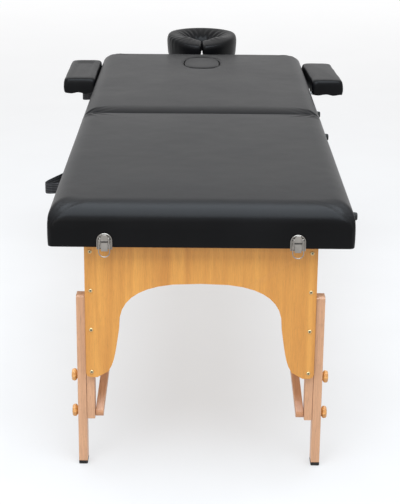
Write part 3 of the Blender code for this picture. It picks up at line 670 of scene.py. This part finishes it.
def cradle_cushion():
    """Horseshoe face cushion: high outside, sloping to the hollow, gathered there, its two ends meeting."""
    base, tall = CRADLE_LOW.z, CRADLE_HIGH.z - CRADLE_LOW.z
    half_width = CUSHION_HALF_WIDTH
    half_x = CRADLE_HIGH.x - half_width
    half_y = (CRADLE_HIGH.y - CRADLE_LOW.y) / 2 - half_width
    steps = 132
    total = 2 * math.pi - 2 * CUSHION_GAP
    rings = []
    for k in range(steps + 1):
        s = k / steps
        a = -math.pi / 2 + CUSHION_GAP + total * s
        here = Vector((half_x * math.cos(a), CRADLE_MIDDLE_Y + half_y * math.sin(a), 0))
        way = Vector((-half_x * math.sin(a), half_y * math.cos(a), 0)).normalized()
        out = Vector((way.y, -way.x, 0))
        end_run = min(s, 1 - s) * total * half_y
        close = math.sqrt(1 - (1 - min(end_run / 0.013, 1.0)) ** 2)
        shut = 0.45 + 0.55 * close
        back = bell(s - 0.5, 0.20)
        skirt = CUSHION_SKIRT * ease((min(s, 1 - s) - 0.12) / 0.06)
        lean = 0.011 * (1 - ease(end_run / 0.10))
        front = 0.9 * (1 - ease((end_run - 0.05) / 0.13))
        section = [(-0.80, -skirt), (-0.80, 0.0), (0.80, 0.0), (0.80, -skirt), (0.90, -skirt)]
        section.append((0.945, -skirt * 0.6))
        section += [(run, (rise + (low - rise) * front) * tall) for run, rise, low in CUSHION_TOP]
        section += [(-1.0, -skirt * 0.4), (-0.96, -skirt)]
        section = [(run * half_width, rise) for run, rise in section]
        ring = []
        for run, rise in section:
            share = rise / tall
            inner = ease((0.016 - run) / 0.03) * ease(share / 0.4)
            pleat = math.sin(2 * math.pi * (s * 24 + 0.22 * math.sin(9 * s) + 0.3 * share))
            fold = 0.0024 * pleat * abs(pleat) ** 0.4 * inner * (0.25 + back)
            flute = 0.0008 * math.sin(2 * math.pi * (s * 37 + 0.3))
            flute *= ease(share / 0.5) * bell(s - 0.80, 0.10)
            wide = run * (shut if run < 0 else 0.55 + 0.45 * shut) + fold * 0.5 + flute
            high = base + rise * (0.82 + 0.18 * close) - lean * ease(share) + fold + flute
            meet = CUSHION_GAP * half_x * 0.93 * (1 - ease(end_run / 0.012)) * ease(share / 0.12)
            ring.append(here + out * wide + way * math.copysign(meet, s - 0.5) + Vector((0, 0, high)))
        rings.append(ring)
    bm = bmesh.new()
    loft(bm, rings)
    cushion = piece("face_cradle_cushion", bm, VINYL, "face_rest", 70.0)
    softer = cushion.modifiers.new("smooth", "SUBSURF")
    softer.levels = softer.render_levels = 1
    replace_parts(cushion, "cradle_cushion")


# ---- handles and bumpers -------------------------------------------------------------------------
# out from the wall and along the handle, as shares of its reach and its length
HANDLE_BENDS = (
    (0.0, 0.0), (0.35, 0.006), (0.70, 0.020), (0.92, 0.070), (1.0, 0.160),
    (0.98, 0.250), (0.86, 0.370), (0.60, 0.570), (0.30, 0.790), (0.0, 1.0),
)
HANDLE_LIFT = {"foot": 0.0030, "head": -0.0040}


def carry_handle(half):
    """A loop of stitched webbing, pulled towards the table's foot end."""
    low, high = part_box(f"{half}_carry_handle")
    tape, edge, width = 0.0011, 0.0007, 0.0270
    wall = -HALF_WIDTH - 0.0004 - tape
    reach = wall - low.x - tape
    level = (low.z + high.z + 0.005) / 2 + HANDLE_LIFT[half]
    steep, far = low.y + 0.0012, high.y - 0.0012
    corners = [
        Vector((wall - reach * out, steep + (far - steep) * run, level - 0.005 * out))
        for out, run in HANDLE_BENDS
    ]
    path = []
    for k in range(len(corners) - 1):
        before, after = corners[max(k - 1, 0)], corners[min(k + 2, len(corners) - 1)]
        for step in range(5):
            t = step / 5
            start, end = (corners[k + 1] - before) / 2, (after - corners[k]) / 2
            a, b = corners[k], corners[k + 1]
            path.append(
                a * (2 * t ** 3 - 3 * t ** 2 + 1) + start * (t ** 3 - 2 * t ** 2 + t)
                + b * (3 * t ** 2 - 2 * t ** 3) + end * (t ** 3 - t ** 2)
            )
    path.append(corners[-1])
    rim, soft = width / 2, tape * 0.4
    section = [(-tape, edge - rim), (-tape, rim - edge), (-soft, rim), (soft, rim)]
    section += [(tape, rim - edge), (tape, edge - rim), (soft, -rim), (-soft, -rim)]
    bm = bmesh.new()
    swept(bm, path, section)
    handle = piece(f"{half}_webbing_handle", bm, WEBBING, f"{half}_half")
    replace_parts(handle, f"{half}_carry_handle")


def bumper(half, place):
    """A round rubber bumper, hollow in the middle for its screw."""
    low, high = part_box(f"{half}_bumper_{place}")
    y, z = (low.y + high.y) / 2, (low.z + high.z) / 2
    radius = (high.z - low.z) / 2
    tall = high.x - low.x
    profile = [(0.0, 0.96), (0.001, 1.0), (tall * 0.55, 0.97), (tall - 0.002, 0.90), (tall - 0.0006, 0.82)]
    profile += [(tall, 0.68), (tall - 0.0002, 0.46), (tall - 0.0010, 0.40), (tall - 0.0045, 0.38)]
    profile.append((tall - 0.0048, 0.05))
    bm = bmesh.new()
    turned(bm, (low.x, y, z), (1, 0, 0), scaled(profile, radius), 28)
    made = piece(f"{half}_rubber_bumper_{place}", bm, RUBBER, f"{half}_half")
    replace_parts(made, f"{half}_bumper_{place}")
    screw(f"{half}_bumper_screw_{place}", (high.x - 0.0047, y, z), (1, 0, 0), 0.0036, ZINC, f"{half}_half")


# ---- screws, bolts and nuts ----------------------------------------------------------------------
def screw(name, place, way, radius, look, body):
    """A domed cross-head screw with its recess, which is darkened as painted shade."""
    way = Vector(way).normalized()
    side = way.orthogonal().normalized()
    across = way.cross(side)
    rise = radius * 0.55
    bm = bmesh.new()
    arm, slim = radius * 0.56, radius * 0.20
    cross = [(arm, slim), (slim, slim), (slim, arm), (-slim, arm), (-slim, slim), (-arm, slim)]
    cross += [(-arm, -slim), (-slim, -slim), (-slim, -arm), (slim, -arm), (slim, -slim), (arm, -slim)]
    count = 24

    def ring(points, level):
        return [bm.verts.new(Vector(place) + way * level + side * a + across * b) for a, b in points]

    dome = ((1.0, 0.0), (1.0, 0.3), (0.93, 0.62), (0.78, 0.88), (0.60, 1.0))
    rings = [ring(round_section(radius * share, count), rise * up) for share, up in dome]
    for low, high in zip(rings, rings[1:]):
        for k in range(count):
            bm.faces.new((low[k], low[(k + 1) % count], high[(k + 1) % count], high[k]))
    rim = ring(cross, rise)
    floor = ring(cross, rise * 0.25)
    edges = [bm.edges.new((rim[k], rim[(k + 1) % 12])) for k in range(12)]
    edges += [e for e in bm.edges if all(v in rings[-1] for v in e.verts)]
    bmesh.ops.triangle_fill(bm, edges=edges, use_beauty=True)
    for k in range(12):
        bm.faces.new((rim[k], rim[(k + 1) % 12], floor[(k + 1) % 12], floor[k]))
    # the recess's floor and walls get the second material, steel darkened as painted shade
    recess_in_painted_shade = [bm.faces.new(floor)]
    recess_in_painted_shade += [f for f in bm.faces if sum(v in floor for v in f.verts) == 2]
    for face in recess_in_painted_shade:
        face.material_index = 1
    bm.faces.new(list(reversed(rings[0])))
    made = piece(name, bm, look, body, 30.0)
    made.data.materials.append(PAINTED_SHADE_STEEL)


def washer_and_nut(bm, place, way):
    """A washer, a hex nut and the end of its bolt, standing on a face."""
    nut, tall = 0.0055, 0.0045
    place, way = Vector(place), Vector(way).normalized()
    turned(bm, place, way, scaled(((0, 1.42), (0.0008, 1.5), (0.0012, 1.42), (0.0012, 0.4)), nut), 24)
    start = place + way * 0.0012
    hexed = scaled(((0.0, 0.92), (0.0006, 1.0), (tall - 0.0008, 1.0), (tall, 0.88), (tall, 0.4)), nut)

    def flats(a):
        return math.cos(math.pi / 6) / math.cos((a % (math.pi / 3)) - math.pi / 6) * 1.06

    turned(bm, start, way, hexed, 24, flats)
    end = start + way * tall
    turned(bm, end, way, scaled(((0, 0.56), (0.0022, 0.56), (0.0028, 0.44)), nut), 16)


def domed_head(bm, place, way):
    radius = 0.0075
    profile = ((0, 1.0), (0.0006, 1.0), (0.0016, 0.92), (0.0027, 0.72), (0.0034, 0.42), (0.0036, 0.06))
    turned(bm, place, way, scaled(profile, radius), 24)


# ---- leg frames ----------------------------------------------------------------------------------
def hand_knob(half, side_name, place):
    """A scalloped hand knob of turned beech on a carriage bolt."""
    knob = f"{half}_knob_{side_name}_{place}"
    low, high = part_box(knob)
    side = SIDES[side_name]
    middle = (low + high) / 2
    inner = low.x if side > 0 else high.x
    tall = high.x - low.x
    radius = (high.z - low.z) / 2
    start = Vector((inner, middle.y, middle.z))
    profile = [(0.0, 0.62), (0.0006, 0.66), (0.0020, 0.70), (0.0032, 0.86), (0.0045, 0.96), (0.0065, 1.0)]
    profile += [(0.0090, 0.995), (0.0112, 0.95), (0.0128, 0.86), (0.0137, 0.74), (tall, 0.60)]
    profile += [(tall - 0.0004, 0.46), (tall - 0.0012, 0.40)]

    def lobes(a):
        return 1.0 - 0.085 * (1 - math.cos(8 * a)) / 2

    bm = bmesh.new()
    turned(bm, start, (side, 0, 0), scaled(profile, radius), 64, lobes)
    made = piece(f"{half}_hand_knob_{side_name}_{place}", bm, KNOB_WOOD, knob)
    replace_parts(made, knob)
    bm = bmesh.new()
    face = start + Vector((side * (tall - 0.0013), 0, 0))
    insert = [(0, 0.0052), (0.0006, 0.0052), (0.0012, 0.0045)]
    insert += [(0.0012, 0.0030), (0.0018, 0.0028), (0.0020, 0.0016)]
    turned(bm, face, (side, 0, 0), insert)
    piece(f"{half}_knob_insert_{side_name}_{place}", bm, ZINC, knob)


SCREW_REACHES = (0.0507, 0.1454, 0.2423, 0.3480)    # down the end panel from the leg pivot
SCREW_INSET = 0.0135
STAY_AND_GAP = 0.0195        # from an upper stay's outer face to that of the lower stay


def panel_screws(half):
    legs = LegFrame(half)
    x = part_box(f"{half}_end_panel")[1].x - SCREW_INSET
    face = PANEL_BACK + PANEL_THICKNESS - 0.0001
    for side_name, side in SIDES.items():
        for k, reach in enumerate(SCREW_REACHES):
            name = f"{half}_panel_screw_{side_name}_{k}"
            screw(name, legs.point(side * x, reach, face), legs.out, 0.0047, YELLOW_ZINC, f"{half}_legs")


def stay_bolts(half):
    """The bolts at each upper stay's two ends."""
    lower_pin = LegFrame(half).point(0, STAY_REACH)
    upper_pin = Vector((0, along(half, LEG_PIVOT_U - STAY_REACH), LEG_PIVOT_Z))
    middle = (lower_pin + upper_pin) / 2
    for side_name, side in SIDES.items():
        stay = f"{half}_upper_stay_{side_name}"
        inner, outer = sorted(abs(corner.x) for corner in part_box(stay))
        bm = bmesh.new()
        washer_and_nut(bm, middle + Vector((side * inner, 0, 0)), (-side, 0, 0))
        domed_head(bm, middle + Vector((side * (outer + STAY_AND_GAP), 0, 0)), (side, 0, 0))
        piece(f"{half}_stay_bolt_middle_{side_name}", bm, ZINC, stay)
        bm = bmesh.new()
        domed_head(bm, upper_pin + Vector((side * outer, 0, 0)), (side, 0, 0))
        piece(f"{half}_stay_bolt_upper_{side_name}", bm, ZINC, stay)


# ---- latches -------------------------------------------------------------------------------------
def arched(half_width, low, high, inset):
    """Outline of a plate with a half-round top, in x and z from the latch's place."""
    radius = half_width - inset
    middle = high - half_width
    points = [(-radius, low + inset * 0.5), (radius, low + inset * 0.5)]
    for k in range(15):
        a = math.pi * k / 14
        points.append((radius * math.cos(a), middle + radius * math.sin(a)))
    return points


def plate(bm, place, outline, low, high):
    """A flat plate standing off the end face from low to high, with eased front edges."""
    ease_by = 0.0004
    middle_x = sum(x for x, _ in outline) / len(outline)
    middle_z = sum(z for _, z in outline) / len(outline)
    rings = []
    for out, shrink in ((low, 0.0), (high - ease_by, 0.0), (high, ease_by)):
        ring = []
        for x, z in outline:
            way = Vector((middle_x - x, 0, middle_z - z)).normalized()
            ring.append(place + Vector((x, -out, z)) + way * shrink)
        rings.append(ring)
    loft(bm, rings)


def latch(side_name, middle_x):
    """Draw latch on the foot end: dished arched plate, fixed tongue, finger lever and wire bail."""
    face = pad_low.y - 0.0006
    place = Vector((middle_x, face, SKIRT_Z - 0.0015))
    bm = bmesh.new()
    dish = ((0, -0.0004), (0, 0.0030), (0.0007, 0.0037), (0.0018, 0.0036), (0.0025, 0.0026), (0.0028, 0.0008))
    loft(bm, [
        [place + Vector((x, -out, z)) for x, z in arched(0.0177, -0.0030, 0.0352, inset)]
        for inset, out in dish
    ])
    tongue = [(-0.0078, -0.0075), (0.0078, -0.0075), (0.0078, 0.0135), (-0.0078, 0.0135)]
    plate(bm, place, tongue, 0.0030, 0.0046)
    base = piece(f"latch_plate_{side_name}", bm, NICKEL, "foot_half", 30.0)
    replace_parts(base, f"latch_base_{side_name}")
    bm = bmesh.new()
    tab = [(-0.0088, 0.0172), (0.0088, 0.0172), (0.0078, 0.0290)]
    tab += [(0.0045, 0.0330), (-0.0045, 0.0330), (-0.0078, 0.0290)]
    plate(bm, place, tab, 0.0048, 0.0064)
    arm = ((0.0100, 0.0098), (0.0114, 0.0098), (0.0114, 0.0262), (0.0084, 0.0262))
    for side in (-1, 1):
        plate(bm, place, [(side * x, z) for x, z in arm][::side], 0.0040, 0.0092)
    lever = f"latch_lever_{side_name}"
    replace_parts(piece(f"latch_finger_lever_{side_name}", bm, NICKEL, lever, 30.0), lever)
    # a rod across the slot under the lever and pivot pins beside it, kept dark as painted shade of the slot
    # and the gaps
    bm = bmesh.new()
    slot = [place + Vector((s, -0.0042, 0.0154)) for s in (-0.0098, 0.0098)]
    swept(bm, slot, round_section(0.0013))
    for side in (-1, 1):
        pin = place + Vector((side * 0.0133, -0.0012, 0.0215))
        turned(bm, pin, (0, -1, 0), [(0, 0.0016), (0.0012, 0.0016), (0.0018, 0.0009)], 14)
    piece(f"latch_shaded_pins_{side_name}", bm, PAINTED_SHADE_STEEL, "foot_half", 30.0)
    out, reach, low = 0.0107, 0.0124, -0.0190
    wire = [place + Vector((-reach, -out, 0.012)), place + Vector((-reach, -out, 0.0))]
    turn_z = low + reach
    for k in range(13):
        a = math.pi * (1 + k / 12)
        wire.append(place + Vector((reach * math.cos(a), -out, turn_z + reach * math.sin(a))))
    wire += [place + Vector((reach, -out, 0.0)), place + Vector((reach, -out, 0.012))]
    bm = bmesh.new()
    swept(bm, wire, round_section(0.00125))
    bail = f"latch_bail_{side_name}"
    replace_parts(piece(f"latch_wire_{side_name}", bm, NICKEL, bail, 50.0), bail)


# ---- catches -------------------------------------------------------------------------------------
def catches():
    """Strike plates with a hook on the head end, which the wire bails hold when the table is folded."""
    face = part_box("head_pad")[1].y + 0.0003
    thick = 0.0012
    z = SKIRT_Z + 0.017
    outline = []
    for k in range(9):
        a = math.pi * k / 8
        outline.append((0.0125 * math.cos(a), 0.006 + 0.0125 * math.sin(a)))
    outline += [(-0.0125, -0.012), (-0.0105, -0.014), (0.0105, -0.014), (0.0125, -0.012)]
    lip = [(-0.0005, -0.0020), (-0.0005, 0.0022), (0.0036, 0.0040), (0.0066, 0.0080), (0.0076, 0.0082)]
    lip += [(0.0052, 0.0026), (0.0030, -0.0006)]
    for side_name, x in zip(SIDES, LATCH_PLACES):
        bm = bmesh.new()
        loft(bm, [[Vector((x + s, face + depth, z + r)) for s, r in outline] for depth in (0.0, thick)])
        loft(bm, [
            [Vector((x + s, face + thick + out, z - 0.004 - drop)) for out, drop in lip]
            for s in (-0.009, -0.0085, 0.0085, 0.009)
        ])
        piece(f"latch_catch_{side_name}", bm, NICKEL, "head_half", 30.0)
        for k, dx in enumerate((-0.0075, 0.0075)):
            place = (x + dx, face + thick - 0.0001, z + 0.008)
            screw(f"latch_catch_screw_{side_name}_{k}", place, (0, 1, 0), 0.0024, ZINC, "head_half")


# ---- CAD nodes that keep their shape -------------------------------------------------------------
def dress(node, look, bevel=0.0):
    """Gives a CAD node its material and, where asked, eased edges."""
    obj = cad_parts[node]
    if not obj.data.materials:
        obj.data.materials.append(look)
    for slot in obj.material_slots:
        slot.material = look
    if bevel:
        weld = obj.modifiers.new("weld", "WELD")
        weld.merge_threshold = 1e-5
        made = obj.modifiers.new("eased_edges", "BEVEL")
        made.width = bevel
        made.segments = 2
        made.limit_method = "ANGLE"
        made.angle_limit = math.radians(35)
        made.harden_normals = True


def dress_frame():
    for half in HALVES:
        legs = LegFrame(half)
        board = layered_ply(
            f"{half}_veneered_board", legs.out, legs.point(0, 0, PANEL_BACK), PANEL_THICKNESS, 5,
            VENEER_LIGHT, VENEER_DARK,
        )
        deck = layered_ply(
            f"{half}_deck_ply", (0, 0, 1), (0, 0, DECK_TOP - DECK_THICKNESS), DECK_THICKNESS, 3,
            DECK_LIGHT, DECK_DARK, "Y",
        )
        dress(f"{half}_end_panel", board, 0.0006)
        dress(f"{half}_deck", deck)
        dress(f"{half}_frame", RAIL_WOOD)
        dress(f"{half}_hinge_leaf", ZINC)
        dress(f"{half}_leg_axle", ZINC)
        for side in SIDES:
            dress(f"{half}_upper_leg_{side}", BEECH, 0.0012)
            dress(f"{half}_extension_leg_{side}", BEECH, 0.0012)
            dress(f"{half}_rubber_foot_{side}", RUBBER, 0.0008)
            dress(f"{half}_lower_stay_{side}", SHADED_STAY_BEECH[half], 0.0010)
            dress(f"{half}_upper_stay_{side}", SHADED_STAY_BEECH[half], 0.0010)
    for side in SIDES:
        dress(f"{side}_armrest_bracket", ZINC)
    dress("cradle_rods", ALUMINIUM)
    dress("cradle_platform", deck, 0.0006)


# ---- stage ---------------------------------------------------------------------------------------
FLOOR_SIZE = 9.0
FLOOR_DROP = 0.0004         # the floor lies this far under the feet
FILL = 0.52                 # share of the room's light that reaches matt surfaces
SOFTBOX_COLOR = (0.82, 0.91, 1.0)


def stage():
    """A pale floor that glows more towards the back, in a white room."""
    bm = bmesh.new()
    bmesh.ops.create_grid(bm, x_segments=8, y_segments=8, size=FLOOR_SIZE)
    mesh = bpy.data.meshes.new("floor")
    bm.to_mesh(mesh)
    bm.free()
    look = Look("pale_floor", 0.9, IOR=1.2)
    look.color(look.ramp(look.noise(3.0), [(0.3, 0.235), (0.7, 0.250)]))
    glow = look.between(look.dot(look.place, (0, 1, 0)), 0.555, 0.855, -1.5, 6.5)
    look.feed(look.shader.inputs["Emission Strength"], glow)
    look.shader.inputs["Emission Color"].default_value = (0.995, 0.995, 1.0, 1.0)
    mesh.materials.append(look.material)
    floor = show("floor", mesh)
    floor.location = (0, 0, -FLOOR_DROP)
    world = bpy.data.worlds.new("studio")
    bpy.context.scene.world = world
    world.use_nodes = True
    nodes, links = world.node_tree.nodes, world.node_tree.links
    background = nodes["Background"]
    background.inputs["Color"].default_value = (0.975, 0.975, 0.98, 1.0)
    # the white room shows and reflects at full strength, and fills the shadows with less
    path = nodes.new("ShaderNodeLightPath")
    level = nodes.new("ShaderNodeMapRange")
    level.inputs["To Min"].default_value = 1.0
    level.inputs["To Max"].default_value = FILL
    links.new(path.outputs["Is Diffuse Ray"], level.inputs["Value"])
    links.new(level.outputs["Result"], background.inputs["Strength"])


def area_light(name, place, target, size, power, color):
    data = bpy.data.lights.new(name, "AREA")
    data.shape = "RECTANGLE"
    data.size, data.size_y = size
    data.energy = power
    data.color = color
    lamp = show(name, data)
    lamp.location = place
    lamp.rotation_euler = (Vector(target) - Vector(place)).to_track_quat("-Z", "Y").to_euler()


def lights():
    area_light("overhead_softbox", (0.0, -1.15, 2.65), (0, -1.15, 0.5), (2.8, 3.2), 175.0, SOFTBOX_COLOR)
    area_light("front_softbox", (-1.6, -3.9, 1.9), (0, -1.0, 0.4), (1.4, 1.4), 20.0, (1.0, 0.97, 0.93))


def camera():
    """Stands above and beyond the foot end, and looks down along the table."""
    pitch, yaw, roll = (math.radians(a) for a in (19.20, 0.08, 0.52))
    ahead = Vector((math.sin(yaw) * math.cos(pitch), math.cos(yaw) * math.cos(pitch), -math.sin(pitch)))
    right = Vector((math.cos(yaw), -math.sin(yaw), 0))
    up = right.cross(ahead)
    tilted_right = right * math.cos(roll) + up * math.sin(roll)
    tilted_up = up * math.cos(roll) - right * math.sin(roll)
    data = bpy.data.cameras.new("camera")
    data.sensor_fit = "VERTICAL"
    data.sensor_height = 36.0
    data.lens = 94.28
    data.clip_end = 60.0
    made = show("camera", data)
    turn = Matrix((tilted_right, tilted_up, -ahead)).transposed().to_4x4()
    made.matrix_world = Matrix.Translation((-0.0066, -3.908, 1.5412)) @ turn
    bpy.context.scene.camera = made


def main():
    camera()
    stage()
    lights()
    bpy.context.scene.view_settings.view_transform = "Standard"
    dress_frame()
    for half in HALVES:
        pad_cover(half)
        carry_handle(half)
        panel_screws(half)
        stay_bolts(half)
        for place in ("inner", "outer"):
            bumper(half, place)
        for side in SIDES:
            for place in ("upper", "lower"):
                hand_knob(half, side, place)
    face_plug()
    for side in SIDES:
        armrest_pad(side)
    cradle_cushion()
    catches()
    for side, x in zip(SIDES, LATCH_PLACES):
        latch(side, x)


main()
